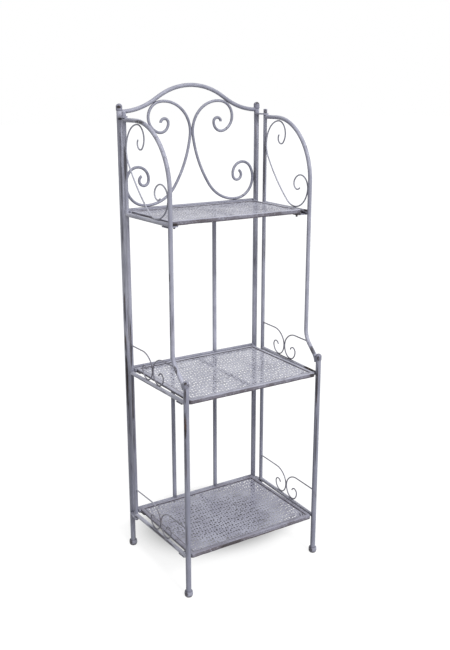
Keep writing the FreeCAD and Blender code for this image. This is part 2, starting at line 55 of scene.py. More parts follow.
RIM_FLANGE = 0.012              # width of a rim's top flange
RIM_WALL = 0.0015
RIM_FRONT_CORNER = 0.008
RIM_REAR_CORNER = 0.0015
RIM_CORNER_STEPS = 6
RIM_STEP = 0.008                # a rim's straight sides are cut into pieces of about this length
RIM_EDGE_ROUND = 0.0022         # rounding along the rim's top outer edge
RIM_EDGE_STEPS = 4
RIM_BEVEL = (0.0008, 0.0006)    # of the flange's inner edge: across it, and down
RIM_FILLET = (0.0006, 0.0008)   # in the angle: beyond the edge's rounding, and down from the flange
RIM_LIP = 0.0033                # height of the worn strip along the rim's lower edge
RIM_SHARP = math.radians(40)    # the rim is shaded smooth up to this angle
DARK_STRIPS = (0, 9, 10)        # strips of the rim's section painted dark: the lip, with wear and glaze, and the flange's inner edge, with painted shade
WALL_STRIPS = (1, 2, 3)         # and the outer wall's, painted darker as painted shade, with the glaze over it
SIDE_CUT = 0.5                  # how much lower a rim's wall is along the shelf's two sides
SIDE_CUT_REAR = 2.5             # how far from the rear that ends, in widths of the flange
WAVE_START = 0.3                # share of the wall's height, from the top, that has no waves
WAVE_RISE = 0.6                 # share of a wave that lifts or lowers the wall
RIM_WAVES = ((28.0, 0.0007), (75.0, 0.0003))    # the lip's waves: how fine and how high

LACE_PITCH = (0.0095, 0.0190)   # wanted size of a cell of the shelves' lace pattern
LACE_BORDER = 0.0030            # plain strip between the rim's flange and the lace
HOLE_SHARE = 0.86               # size of a hole inside the dark ring round it: glaze, and painted shade that makes the hole read dark
SHEET_THICKNESS = 0.0003
SHEET_MARGIN = 0.0040           # from the rim's outer face in to the sheet's edge

# the lace's cells, in shares of a cell; where two numbers stand, the cells lie between them
LACE_KINDS = 32                 # how many different cells there are
LEAF_POINTS = 12
LEAF_TAPER = 0.35               # draws the leaf's ends out to points
LEAF_TURN = (8, 26)             # degrees
LEAF_ASIDE = 0.12               # farthest to either side of the cell's middle
LEAF_ALONG = (0.06, 0.20)
LEAF_LENGTH = (0.32, 0.56)
LEAF_WIDTH = (0.46, 0.70)
DOT_POINTS = 8
DOT_ASIDE = 0.20
DOT_ALONG = 0.37
DOT_RADIUS = (0.12, 0.22)
DOT_FLATNESS = 0.5              # makes a dot round, as a cell is twice as long as wide

FEET = ((-0.236, 0.1755), (0.236, 0.1755), (-0.230, -0.1755), (0.230, -0.1755))

PHOTO_HEIGHT = 650              # pixels
FOCAL_PIXELS = 841.9
SENSOR = 36.0
CAMERA_AZIMUTH = math.radians(-32.44)
CAMERA_ELEVATION = math.radians(15.84)
CAMERA_PLACE = Vector((-1.3019, -2.0604, 1.4425))
CAMERA_CLIP = (0.05, 60.0)

# ---------------------------------------------------------------- light

WHITE = (1, 1, 1, 1)
KEY = 0.62                      # what the key light adds to a white surface that faces it
KEY_ELEVATION = math.radians(40)
KEY_SPREAD = math.radians(14)
SHADE = 0.22                    # the world's light from the dark side
SKY = 1.00                      # and from the bright side
SKY_TOWARDS = Vector((0.45, -0.60, 0.66)).normalized()      # where the bright side is
SKY_SPREAD = (-0.6, 1.0)        # from the dark side to the bright one, as cosines off its middle
FLOOR_HALF = 30.0               # half the floor's width
FLOOR_BOUNCE = 0.25             # the floor's colour for the light that it throws back
FLOOR_SEEN = (0.22, 0.20)       # its colour as seen: in the open, and where the object shades it
FLOOR_LIFT = (0.86, 0.00)       # what keeps it white beyond the shadow, likewise
SHADED_FROM = Vector((-0.35, -0.80, 0.40)).normalized()     # the side from which the painted shadow is cast
SHADED_REACH = 0.60             # how far off a piece still shades the floor
SHADED_SAMPLES = 16
SHADED = (0.97, 0.84)           # how open the floor is where the shading starts, and at its full
SHADED_PLACE = ((0.10, 0.19, 0.0), (0.41, 0.33, 1.0), 0.20)     # the painted shadow's place, reach, core

# ---------------------------------------------------------------- colours (sRGB, 0 to 255)

PAINT = (172, 173, 188)
PAINT_PALE = (192, 193, 206)
PAINT_DULL = (150, 151, 167)
# painted shade on the rims' outer walls, which face aside while the flange faces up
PAINTED_WALL_SHADE = (132, 131, 145)
PAINTED_SHADE_BELOW = (116, 118, 134)     # painted shade: the colour that the frame's paint turns towards below the middle shelf, which shades it
GLAZE = (76, 72, 80)
EDGE_WEAR_AND_SHADE = (96, 90, 97)
BARE = (50, 44, 44)
RUST = (88, 64, 55)

# ---------------------------------------------------------------- paint

# the paint's noises: scale, detail, roughness, distortion
BROAD = (14.0, 3.0, 0.55, 0.0)          # patches of duller paint
BRUSHED = (260.0, 4.0, 0.60, 0.0)       # marks of the brush
WIPED = (120.0, 6.0, 0.65, 0.6)         # glaze that the wiping has left
GATHERS = (9.0, 2.0, 0.55, 0.0)         # where the glaze and the chips gather
CHIPPED = (150.0, 7.0, 0.72, 0.8)
FINE = (900.0, 3.0, 0.60, 0.0)          # grain of the paint
HAMMERED = (170.0, 2.0, 0.55, 0.0)      # shallow dents

# where a noise starts to show and where it is full, and for some what it gives at these two
DULL_RAMP = (0.35, 0.68)
BRUSH_RAMP = (0.50, 0.78, 0.0, 0.55)
WIPE_RAMP = (0.50, 0.70)
GLAZE_RAMP = (0.42, 0.66)
CHIP_RAMP = (0.50, 0.62)
SPOT_RAMP = (0.34, 0.48)                # breaks up each spot: of wear, and of painted shade
DIRT_AND_SHADE_RAMP = (0.25, 0.85, 0.90, 0.0)     # darkens closed-in places by how open they are: dirt, and painted shade
RUST_RAMP = (0.55, 0.72)
ROUGH_RAMP = (0.3, 0.7, 0.34, 0.46)     # the paint's roughness, by the marks of the brush

GLAZE_LEAST, GLAZE_BY_WEAR = 0.55, 0.5
CHIP_START, CHIP_FULL, CHIP_BY_WEAR, CHIP_MOST = 0.70, 0.76, 0.10, 0.8
SPOT_CORE = 0.65                # share of a spot's reach where it is full
CREVICE_REACH = 0.018           # how far from another piece the dirt and the painted shade gather
CREVICE_SAMPLES = 4
BARE_ROUGHER = 0.25             # how much rougher bare metal is than the paint
SPECULAR = 0.35
FINE_SHARE = 0.25               # of the grain in the bump, against the dents
BARE_DEPTH = 0.6                # how far bare metal lies below the paint, likewise
BUMP_STRENGTH, BUMP_HEIGHT = 0.35, 0.0006
SHADE_BELOW_FROM, SHADE_BELOW_TO = 0.68, 0.58   # heights between which painted shade darkens the paint
SHADE_BELOW_SHARE = 0.6                 # how far it turns
SHADE_BELOW_PIECES = ("leg", "inner_bar", "upright", "post", "cap")

# the noises' scale along each axis, for brush marks that follow an axis
GRAIN = {"x": (0.12, 1, 1), "y": (1, 0.12, 1), "z": (1, 1, 0.06), "none": (0.6, 0.6, 0.6)}

# worn spots, and a few of painted shade, are (place, reach along each axis, strength); strength 1
# is bare metal
RIM_SPOTS = (((0.04, -0.178, 0.116), (0.16, 0.020, 0.010), 0.7),
             ((-0.08, -0.178, 0.124), (0.05, 0.020, 0.012), 0.8),
             ((-0.208, -0.086, 1.080), (0.012, 0.012, 0.010), 1.0),
             ((-0.212, -0.166, 0.606), (0.012, 0.012, 0.010), 0.9),
             ((0.207, -0.172, 0.606), (0.012, 0.012, 0.010), 0.9))
# painted shade on the feet: on the left side, away from the light, and round the sole where it
# meets the floor, with wear there too
FOOT_SPOTS = (((0.0, 0.0, 0.0), (0.016, 0.016, 0.007), 0.9),        # round the sole
              ((-0.013, 0.0, 0.012), (0.009, 0.014, 0.010), 0.8))   # on the left side

# how much of the paint is rubbed, where the wear gathers, and the paint's main and duller colour
# the bottom shelf's sheet and rim are painted darker than the others: painted shade from the
# shelves above
SHEET_LOOK = {"bottom": (0.7, (), ((163, 164, 179), (143, 143, 159))),
              "middle": (0.4, (), ((180, 181, 194), (160, 161, 176))),
              "top": (0.8, (), ((174, 175, 189), (148, 148, 163)))}
RIM_LOOK = {"bottom": (0.8, (), ((146, 146, 161), (126, 124, 138))),
            "middle": (0.5, (), ((174, 175, 189), (152, 153, 168))),
            "top": (0.6, (), ((178, 179, 193), (154, 155, 170)))}
# the rims' lip and inner edge and the sheets' margins: wear and glaze, and painted shade in the
# gaps under the flange's edge
EDGE_LOOK = (0.9, RIM_SPOTS, (EDGE_WEAR_AND_SHADE, GLAZE))
WALL_SHADE_LOOK = (0.8, RIM_SPOTS, (PAINTED_WALL_SHADE, EDGE_WEAR_AND_SHADE))
# dark rings round the lace's holes: glaze, and painted shade that makes the holes read dark
RING_GLAZE_AND_SHADE_LOOK = (0.9, (), (GLAZE, BARE))
FOOT_LOOK = (0.9,
             [((x + aside, y + along, z), reach, strength)
              for (aside, along, z), reach, strength in FOOT_SPOTS for x, y in FEET],
             ((164, 165, 180), (136, 136, 151)))

# the same without the places, for the frames' pieces by the end of their names
PLAIN_LOOK = (0.6, (PAINT, PAINT_DULL))
FRAME_LOOK = {"arched_top_rail": (0.6, ((154, 155, 170), (134, 135, 150))),
              "back_scroll": (0.6, ((152, 153, 168), (132, 133, 148))),
              "rear_rail": (0.6, ((150, 151, 166), (130, 131, 146))),
              "gallery": (0.6, ((156, 156, 168), (132, 130, 142))),
              "side_bar": (0.6, (PAINT_PALE, PAINT)),
              "side_scroll": (0.4, (PAINT_PALE, PAINT)),
              "cap": (0.9, ((150, 151, 166), (126, 126, 141))),
              "left_back_post": (0.6, (PAINT_PALE, PAINT))}

WEAR_AND_SHADE_PLACES = {
    "left_back_post": (((-0.2388, 0.1680, 1.281), (0.003, 0.004, 0.050), 0.5),
                       ((-0.2395, 0.1683, 1.173), (0.003, 0.004, 0.090), 0.6),
                       ((-0.2410, 0.1693, 1.048), (0.003, 0.004, 0.060), 0.5),
                       ((-0.2414, 0.1696, 0.800), (0.0025, 0.004, 0.055), 0.9),
                       ((-0.2319, 0.1687, 0.762), (0.0025, 0.004, 0.080), 0.9),
                       ((-0.2425, 0.1709, 0.668), (0.003, 0.005, 0.060), 0.9),
                       ((-0.2415, 0.1697, 0.560), (0.004, 0.005, 0.110), 1.0),
                       ((-0.2360, 0.1677, 1.353), (0.010, 0.010, 0.004), 0.8)),
    # painted shade on the lower inner bars, just under the middle shelf
    "left_lower_inner_bar": (((-0.080, 0.172, 0.560), (0.014, 0.014, 0.110), 0.4),),
    "right_lower_inner_bar": (((0.080, 0.172, 0.560), (0.014, 0.014, 0.110), 0.4),),
    "right_back_post": (((0.2301, 0.1701, 1.218), (0.003, 0.005, 0.150), 0.6),
                        ((0.229, 0.172, 0.500), (0.004, 0.006, 0.100), 0.6)),
    "left_upright": (((-0.2443, 0.1298, 1.230), (0.004, 0.005, 0.060), 0.8),
                     ((-0.2443, 0.1298, 0.695), (0.003, 0.005, 0.090), 0.9),
                     ((-0.2443, 0.1298, 0.480), (0.003, 0.005, 0.160), 0.8)),
    "right_upright": (((0.2372, 0.1306, 1.189), (0.003, 0.005, 0.120), 0.7),
                      ((0.2372, 0.1306, 0.520), (0.003, 0.005, 0.100), 0.5)),
    # darker down the front leg below the middle shelf: worn streaks, and painted shade
    "left_front_leg": (((-0.2362, -0.1805, 0.630), (0.003, 0.004, 0.030), 0.9),
                       ((-0.2366, -0.1802, 0.540), (0.004, 0.005, 0.050), 1.0),
                       ((-0.2366, -0.1802, 0.440), (0.003, 0.004, 0.080), 0.6)),
    "right_front_leg": (((0.2232, -0.1797, 0.571), (0.003, 0.004, 0.080), 0.9),
                        ((0.2251, -0.1818, 0.391), (0.003, 0.004, 0.100), 0.6)),
    "left_front_leg_cap": (((-0.2356, -0.1816, 0.664), (0.005, 0.005, 0.006), 1.0),
                           ((-0.2290, -0.1846, 0.658), (0.005, 0.005, 0.005), 1.0)),
    "right_front_leg_cap": (((0.2235, -0.1825, 0.656), (0.004, 0.005, 0.009), 1.0),),
    "back_post_caps": (((-0.2403, 0.1675, 1.386), (0.007, 0.006, 0.005), 1.0),
                       ((0.2347, 0.1683, 1.392), (0.006, 0.006, 0.004), 1.0)),
    "right_hinge_pins": (((0.2383, 0.1298, 1.366), (0.006, 0.006, 0.010), 0.8),),
    "right_middle_side_bar": (((0.2286, -0.1400, 0.609), (0.008, 0.040, 0.006), 1.0),
                              ((0.238, -0.020, 0.609), (0.008, 0.070, 0.005), 0.7)),
    "right_top_side_bar": (((0.2322, -0.0973, 1.092), (0.010, 0.016, 0.008), 1.0),),
    "left_middle_side_bar": (((-0.243, 0.020, 0.600), (0.006, 0.090, 0.004), 0.6),),
    "left_bottom_side_bar": (((-0.240, -0.020, 0.129), (0.006, 0.120, 0.004), 0.8),),
    "left_arched_side_rail": (((-0.2435, 0.0300, 1.350), (0.005, 0.040, 0.006), 0.8),
                              ((-0.2384, -0.1071, 0.945), (0.003, 0.004, 0.014), 1.0),
                              ((-0.2390, -0.1071, 0.865), (0.003, 0.004, 0.020), 0.8),
                              ((-0.2390, -0.1071, 0.800), (0.003, 0.004, 0.035), 0.7),
                              ((-0.2370, -0.1300, 0.689), (0.005, 0.010, 0.025), 0.8)),
    # darker paint on the front halves of the left galleries
    "left_bottom_gallery": (((-0.241, -0.050, 0.160), (0.020, 0.150, 0.060), 0.35),),
    "left_middle_gallery": (((-0.241, -0.040, 0.640), (0.020, 0.110, 0.040), 0.25),),
    "right_arched_side_rail": (((0.228, -0.150, 0.680), (0.006, 0.014, 0.030), 0.8),),
    "left_ledges": (((-0.2100, -0.0800, 1.080), (0.010, 0.010, 0.010), 1.0),
                    ((-0.200, -0.140, 0.596), (0.014, 0.018, 0.010), 0.8)),
    "right_ledges": (((0.2035, -0.0870, 1.080), (0.014, 0.014, 0.010), 1.0),),
}


def linear(colour):
    """Scene-linear RGBA from an sRGB colour of 0 to 255."""
    values = []
    for part in colour:
        c = part / 255
        values.append(c / 12.92 if c <= 0.04045 else ((c + 0.055) / 1.055) ** 2.4)
    return (*values, 1.0)


def direction(azimuth, elevation):
    """Unit vector; the azimuth is counted from the front towards the right."""
    return Vector((math.sin(azimuth) * math.cos(elevation),
                   -math.cos(azimuth) * math.cos(elevation),
                   math.sin(elevation)))


# ---------------------------------------------------------------- node helpers

class Tree:
    """Short hand for building the nodes of a material or a world."""

    def __init__(self, owner, output):
        owner.use_nodes = True
        self.nodes = owner.node_tree.nodes
        self.links = owner.node_tree.links
        self.nodes.clear()
        self.output = self.nodes.new(output)

    def put(self, socket, value):
        if isinstance(value, bpy.types.NodeSocket):
            self.links.new(value, socket)
        else:
            socket.default_value = value

    def coordinates(self, scale=(1, 1, 1)):
        source = self.nodes.new("ShaderNodeTexCoord")
        mapping = self.nodes.new("ShaderNodeMapping")
        self.links.new(source.outputs["Object"], mapping.inputs["Vector"])
        mapping.inputs["Scale"].default_value = scale
        return mapping.outputs["Vector"]

    def noise(self, vector, settings):
        node = self.nodes.new("ShaderNodeTexNoise")
        self.links.new(vector, node.inputs["Vector"])
        for name, value in zip(("Scale", "Detail", "Roughness", "Distortion"), settings):
            node.inputs[name].default_value = value
        return node.outputs["Fac"]

    def ramp(self, value, low, high, out_low=0.0, out_high=1.0):
        """Smooth step of a value from low to high."""
        node = self.nodes.new("ShaderNodeMapRange")
        node.interpolation_type = "SMOOTHSTEP"
        self.put(node.inputs["Value"], value)
        node.inputs["From Min"].default_value = low
        node.inputs["From Max"].default_value = high
        node.inputs["To Min"].default_value = out_low
        node.inputs["To Max"].default_value = out_high
        return node.outputs["Result"]

    def math(self, operation, a, b):
        node = self.nodes.new("ShaderNodeMath")
        node.operation = operation
        self.put(node.inputs[0], a)
        self.put(node.inputs[1], b)
        return node.outputs[0]

    def vector_math(self, operation, a, b=None):
        node = self.nodes.new("ShaderNodeVectorMath")
        node.operation = operation
        self.put(node.inputs[0], a)
        if b is not None:
            self.put(node.inputs[1], b)
        return node.outputs["Value" if operation in ("LENGTH", "DOT_PRODUCT") else "Vector"]

    def mix(self, factor, a, b):
        node = self.nodes.new("ShaderNodeMix")
        node.data_type = "RGBA"
        self.put(node.inputs["Factor"], factor)
        self.put(node.inputs["A"], a)
        self.put(node.inputs["B"], b)
        return node.outputs["Result"]

    def near(self, place, reach, core):
        """1 at a place and in its core, falling to 0 at its reach (a radius along each axis)."""
        source = self.nodes.new("ShaderNodeTexCoord")
        offset = self.vector_math("SUBTRACT", source.outputs["Object"], place)
        length = self.vector_math("LENGTH", self.vector_math("DIVIDE", offset, reach))
        return self.ramp(length, core, 1.0, 1.0, 0.0)

    def seen_directly(self):
        """1 for the camera's own rays and for mirrored and refracted ones."""
        rays = self.nodes.new("ShaderNodeLightPath").outputs
        mirrored = self.math("MAXIMUM", rays["Is Camera Ray"], rays["Is Glossy Ray"])
        return self.math("MAXIMUM", mirrored, rays["Is Transmission Ray"])


# ---------------------------------------------------------------- materials

def antique_paint(name, along, wear, spots, base, low=0.0):
    """Pale paint with a dark glaze wiped along the piece and worn through at places, and darkened
    by dirt and painted shade where other pieces close round it.

    along is the axis that the brush and the wear follow; wear is how much of the surface is rubbed;
    spots are where the wear gathers, a few of them painted shade; base is the paint's main and its
    duller colour;
    low is how far painted shade darkens the paint below the middle shelf."""
    material = bpy.data.materials.new(name)
    tree = Tree(material, "ShaderNodeOutputMaterial")
    stretched = tree.coordinates(GRAIN[along])
    plain = tree.coordinates()

    broad = tree.noise(plain, BROAD)
    brushed = tree.noise(stretched, BRUSHED)
    colour = tree.mix(tree.ramp(broad, *DULL_RAMP), linear(base[1]), linear(base[0]))
    colour = tree.mix(tree.ramp(brushed, *BRUSH_RAMP), colour, linear(PAINT_PALE))

    # painted shade below the middle shelf
    if low:
        split = tree.nodes.new("ShaderNodeSeparateXYZ")
        tree.links.new(plain, split.inputs[0])
        shade_below = tree.ramp(split.outputs["Z"], SHADE_BELOW_TO, SHADE_BELOW_FROM, low, 0.0)
        colour = tree.mix(shade_below, colour, linear(PAINTED_SHADE_BELOW))

    wiped = tree.ramp(tree.noise(stretched, WIPED), *WIPE_RAMP)
    gathers = tree.noise(plain, GATHERS)
    patchy = tree.math("MULTIPLY", wiped, tree.ramp(gathers, *GLAZE_RAMP))
    glaze = tree.math("MULTIPLY", patchy, GLAZE_LEAST + GLAZE_BY_WEAR * wear)

    chipped = tree.noise(stretched, CHIPPED)
    earlier = CHIP_BY_WEAR * wear
    chips = tree.ramp(chipped, CHIP_START - earlier, CHIP_FULL - earlier, 0.0, CHIP_MOST)
    wear_and_shade = tree.math("MULTIPLY", chips, tree.ramp(gathers, *CHIP_RAMP))
    for place, reach, strength in spots:
        patch = tree.math("MULTIPLY", tree.near(place, reach, SPOT_CORE), strength)
        broken = tree.math("MULTIPLY", patch, tree.ramp(chipped, *SPOT_RAMP))
        wear_and_shade = tree.math("MAXIMUM", wear_and_shade, broken)

    # dirt and painted shade where other pieces close round the surface
    crevice = tree.nodes.new("ShaderNodeAmbientOcclusion")
    crevice.inputs["Distance"].default_value = CREVICE_REACH
    crevice.samples = CREVICE_SAMPLES
    dirt_and_shade = tree.ramp(crevice.outputs["AO"], *DIRT_AND_SHADE_RAMP)

    colour = tree.mix(glaze, colour, linear(GLAZE))
    colour = tree.mix(dirt_and_shade, colour, linear(GLAZE))
    rusty = tree.mix(tree.ramp(broad, *RUST_RAMP), linear(BARE), linear(RUST))
    colour = tree.mix(wear_and_shade, colour, rusty)

    shader = tree.nodes.new("ShaderNodeBsdfPrincipled")
    tree.put(shader.inputs["Base Color"], colour)
    shader.inputs["Metallic"].default_value = 0.0
    rough = tree.math("ADD", tree.ramp(brushed, *ROUGH_RAMP),
                      tree.math("MULTIPLY", wear_and_shade, BARE_ROUGHER))
    tree.put(shader.inputs["Roughness"], rough)
    shader.inputs["Specular IOR Level"].default_value = SPECULAR

    fine = tree.math("MULTIPLY", tree.noise(plain, FINE), FINE_SHARE)
    height = tree.math("ADD", fine, tree.noise(plain, HAMMERED))
    height = tree.math("SUBTRACT", height, tree.math("MULTIPLY", wear_and_shade, BARE_DEPTH))
    bump = tree.nodes.new("ShaderNodeBump")
    bump.inputs["Strength"].default_value = BUMP_STRENGTH
    bump.inputs["Distance"].default_value = BUMP_HEIGHT
    tree.put(bump.inputs["Height"], height)
    tree.links.new(bump.outputs["Normal"], shader.inputs["Normal"])
    tree.links.new(shader.outputs[0], tree.output.inputs["Surface"])
    return material


def floor_paint(name):
    """Floor that keeps the object's soft shadow and turns white further off; near the object a
    painted shadow darkens its colour where the object closes it in.
    """
    material = bpy.data.materials.new(name)
    tree = Tree(material, "ShaderNodeOutputMaterial")
    seen = tree.seen_directly()
    towards = tree.nodes.new("ShaderNodeCombineXYZ")
    for socket, part in zip(towards.inputs, SHADED_FROM):
        socket.default_value = part
    openness = tree.nodes.new("ShaderNodeAmbientOcclusion")
    openness.samples = SHADED_SAMPLES
    openness.inputs["Distance"].default_value = SHADED_REACH
    tree.links.new(towards.outputs[0], openness.inputs["Normal"])
    # painted shadow: darker where the object closes the floor in, within a soft patch
    shade = tree.ramp(openness.outputs["AO"], SHADED[1], SHADED[0], 1.0, 0.0)
    shade = tree.math("MULTIPLY", shade, tree.near(*SHADED_PLACE))
    colour = tree.ramp(shade, 0.0, 1.0, *FLOOR_SEEN)
    lift = tree.ramp(shade, 0.0, 1.0, *FLOOR_LIFT)
    bounce = tree.math("SUBTRACT", colour, FLOOR_BOUNCE)
    shown = tree.math("ADD", tree.math("MULTIPLY", seen, bounce), FLOOR_BOUNCE)
    shader = tree.nodes.new("ShaderNodeBsdfDiffuse")
    tree.links.new(shown, shader.inputs["Color"])
    glow = tree.nodes.new("ShaderNodeEmission")
    glow.inputs["Color"].default_value = WHITE
    tree.links.new(tree.math("MULTIPLY", seen, lift), glow.inputs["Strength"])
    both = tree.nodes.new("ShaderNodeAddShader")
    tree.links.new(shader.outputs[0], both.inputs[0])
    tree.links.new(glow.outputs[0], both.inputs[1])
    tree.links.new(both.outputs[0], tree.output.inputs["Surface"])
    return material


# ---------------------------------------------------------------- mesh helpers

def mesh_object(name, vertices, faces, materials, body):
    mesh = bpy.data.meshes.new(name)
    mesh.from_pydata([tuple(v) for v in vertices], [], faces)
    mesh.validate()
    mesh.update()
    piece = bpy.data.objects.new(name, mesh)
    bpy.context.scene.collection.objects.link(piece)
    for material in materials:
        mesh.materials.append(material)
    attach(piece, body)
    return piece


# ---------------------------------------------------------------- perforated sheets

# a sheet's margin takes the dark edge paint: glaze, and painted shade in the gap under the rim's
# flange
SHEET_EDGE, SHEET_RING = 1, 2       # places of a sheet's materials; 0 is the lace's paint

# plain half cell: its points, its triangles, which of these lie in a ring, and its holes' edges
HALF_CELL = (np.array([(-0.5, -0.5), (0.0, -0.5), (0.0, 0.5), (-0.5, 0.5)]),
             np.array([(0, 1, 2), (0, 2, 3)]), np.zeros(2, bool), np.zeros((0, 2), int))


def inside(point, outline):
    """Whether a point lies inside a closed outline."""
    crossings = 0
    for (ax, ay), (bx, by) in zip(outline, outline[1:] + outline[:1]):
        if (ay > point.y) != (by > point.y):
            crossings += point.x < ax + (bx - ax) * (point.y - ay) / (by - ay)
    return crossings % 2 == 1


def lace_cell(rings):
    """Cell of unit size with a hole inside each ring: its points, its triangles, which of these lie
    in a ring, and the holes' edges."""
    points = [(-0.5, -0.5), (0.0, -0.5), (0.5, -0.5), (0.5, 0.5), (0.0, 0.5), (-0.5, 0.5)]
    edges = [(i, (i + 1) % 6) for i in range(6)]
    hole_edges = []
    holes = []
    for ring in rings:
        middle = np.mean(ring, axis=0)
        hole = [tuple(middle + (np.array(point) - middle) * HOLE_SHARE) for point in ring]
        holes.append(hole)
        for outline, known in ((ring, edges), (hole, hole_edges)):
            loop = list(range(len(points), len(points) + len(outline)))
            known += zip(loop, loop[1:] + loop[:1])
            points += outline
    flat = [Vector(point) for point in points]
    made, _, triangles, *_ = geometry.delaunay_2d_cdt(flat, edges + hole_edges, [], 0, SAME_POINT)
    assert len(made) == len(points)
    metal = []
    dark = []
    for a, b, c in triangles:
        middle = (made[a] + made[b] + made[c]) / 3
        if not any(inside(middle, hole) for hole in holes):
            metal.append((a, b, c))
            dark.append(any(inside(middle, ring) for ring in rings))
    return np.array(points), np.array(metal), np.array(dark), np.array(hole_edges)


def leaf(length, width, turn):
    """Pointed slot round the origin, turned in the cell's real proportions."""
    wide, long = LACE_PITCH
    outline = []
    for i in range(LEAF_POINTS):
        t = 2 * math.pi * i / LEAF_POINTS
        along = 0.5 * length * math.cos(t)
        across = 0.5 * width * math.sin(t) * abs(math.sin(t)) ** LEAF_TAPER
        outline.append((across * math.cos(turn) - along * math.sin(turn) * long / wide,
                        across * math.sin(turn) * wide / long + along * math.cos(turn)))
    return outline


def lace_cells():
    """The kinds of cells of the lace: a leaf at one end and a dot at the other. No two kinds are
    alike, as if the sheets were punched with a worn tool."""
    chance = random.Random("lace")
    cells = []
    for i in range(LACE_KINDS):
        end = (-1) ** (i // 2)
        turn = math.radians(chance.uniform(*LEAF_TURN) * (-1) ** i)
        x = chance.uniform(-LEAF_ASIDE, LEAF_ASIDE)
        y = chance.uniform(*LEAF_ALONG) * end
        length = chance.uniform(*LEAF_LENGTH)
        width = chance.uniform(*LEAF_WIDTH)
        leaf_hole = [(x + u, y + v) for u, v in leaf(length, width, turn)]
        x = chance.uniform(-DOT_ASIDE, DOT_ASIDE)
        y = -DOT_ALONG * end
        radius = chance.uniform(*DOT_RADIUS)
        dot = [(x + radius * math.cos(t), y + DOT_FLATNESS * radius * math.sin(t))
               for t in (2 * math.pi / DOT_POINTS * k for k in range(DOT_POINTS))]
        cells.append(lace_cell([leaf_hole, dot]))
    return cells


def lace_field(level, low, high):
    """Rows of cells that fill the field from low to high, each second row half a cell aside: their
    flat points, their triangles, which of these lie in a ring, and the holes' edges."""
    counts = np.round((high - low) / LACE_PITCH).astype(int)
    size = (high - low) / counts
    cells = lace_cells()
    chance = random.Random(level)
    placed = []
    for row in range(counts[1]):
        odd = row % 2
        shift = 0.5 * odd
        for column in range(counts[0] - odd):
            placed.append((chance.choice(cells), column + 0.5 + shift, row + 0.5))
        if odd:
            placed += [(HALF_CELL, column, row + 0.5) for column in (0.5, counts[0])]

    flat = []
    faces = []
    dark = []
    edges = []
    count = 0
    for (points, triangles, ringed, hole_edges), x, y in placed:
        flat.append((points + (x, y)) * size + low)
        faces.append(triangles + count)
        dark.append(ringed)
        edges.append(hole_edges + count)
        count += len(points)
    return tuple(np.concatenate(part) for part in (flat, faces, dark, edges))


def inset_corners(low, high, inset):
    """Lower and upper corner of a box seen from above, moved inwards."""
    return (np.array((low.x + inset, low.y + inset)),
            np.array((high.x - inset, high.y - inset)))


def margin(edge, field, z_top, z_bottom):
    """Plain strip all round the lace, from the sheet's edge to the field: its points and faces."""
    points = []
    for z in (z_top, z_bottom):
        for low, high in (edge, field):
            points += [(low[0], low[1], z), (high[0], low[1], z),
                       (high[0], high[1], z), (low[0], high[1], z)]
    faces = []
    for i in range(4):
        j = (i + 1) % 4
        faces.append((i, j, j + 4, i + 4))
        faces.append((i + 12, j + 12, j + 8, i + 8))
        faces.append((i, i + 8, j + 8, j))
        faces.append((i + 4, j + 4, j + 12, i + 12))
    return np.array(points), faces


def perforated_sheet(level, materials):
    """Thin sheet with a lace of real holes, which replaces the plain sheet of that level."""
    _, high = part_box(level + "_shelf_sheet")
    rim_low, rim_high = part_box(level + "_shelf_rim")
    z_top = high.z
    z_bottom = high.z - SHEET_THICKNESS
    field = inset_corners(rim_low, rim_high, RIM_FLANGE + LACE_BORDER)
    edge = inset_corners(rim_low, rim_high, SHEET_MARGIN)
    flat, triangles, dark, hole_edges = lace_field(level, *field)
    margin_points, margin_faces = margin(edge, field, z_top, z_bottom)

    count = len(flat)
    vertices = np.concatenate([np.column_stack([flat, np.full(count, z_top)]),
                               np.column_stack([flat, np.full(count, z_bottom)]),
                               margin_points])
    faces = triangles.tolist()
    faces += (triangles[:, ::-1] + count).tolist()
    faces += np.column_stack([hole_edges, hole_edges[:, ::-1] + count]).tolist()
    faces += [[i + 2 * count for i in face] for face in margin_faces]
    piece = mesh_object(level + "_perforated_sheet", vertices, faces, materials,
                        level + "_shelf")

    ringed = SHEET_RING * dark
    chosen = np.concatenate([ringed, ringed, np.full(len(hole_edges), SHEET_RING),
                             np.full(len(margin_faces), SHEET_EDGE)])
    assert len(chosen) == len(piece.data.polygons)
    piece.data.polygons.foreach_set("material_index", chosen.astype(np.int32))
    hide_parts(level + "_shelf_sheet")


# ---------------------------------------------------------------- shelf rims

RIM_DARK, RIM_OUTER = 1, 2          # places of a rim's materials; 0 is the flange's paint


def rim_section(height):
    """Closed outline of the rim's angle section: inwards from the outer face, down from the top."""
    section = [(0.0, height), (0.0, height - RIM_LIP), (0.0, height * 0.5)]
    for i in range(RIM_EDGE_STEPS + 1):
        t = math.pi / 2 * i / RIM_EDGE_STEPS
        section.append((RIM_EDGE_ROUND * (1 - math.cos(t)), RIM_EDGE_ROUND * (1 - math.sin(t))))
    section += [(RIM_FLANGE * 0.5, 0.0), (RIM_FLANGE - RIM_BEVEL[0], 0.0),
                (RIM_FLANGE, RIM_BEVEL[1]), (RIM_FLANGE, RIM_WALL)]
    section += [(RIM_EDGE_ROUND + RIM_FILLET[0], RIM_WALL), (RIM_WALL, RIM_WALL + RIM_FILLET[1]),
                (RIM_WALL, height * 0.5), (RIM_WALL, height)]
    return section


def rim_corners(low, high):
    """The rim's corners: x, y, which way each points, its radius, and where its arc starts."""
    return ((low.x, low.y, -1, -1, RIM_FRONT_CORNER, math.radians(180)),
            (high.x, low.y, 1, -1, RIM_FRONT_CORNER, math.radians(270)),
            (high.x, high.y, 1, 1, RIM_REAR_CORNER, math.radians(0)),
            (low.x, high.y, -1, 1, RIM_REAR_CORNER, math.radians(90)))


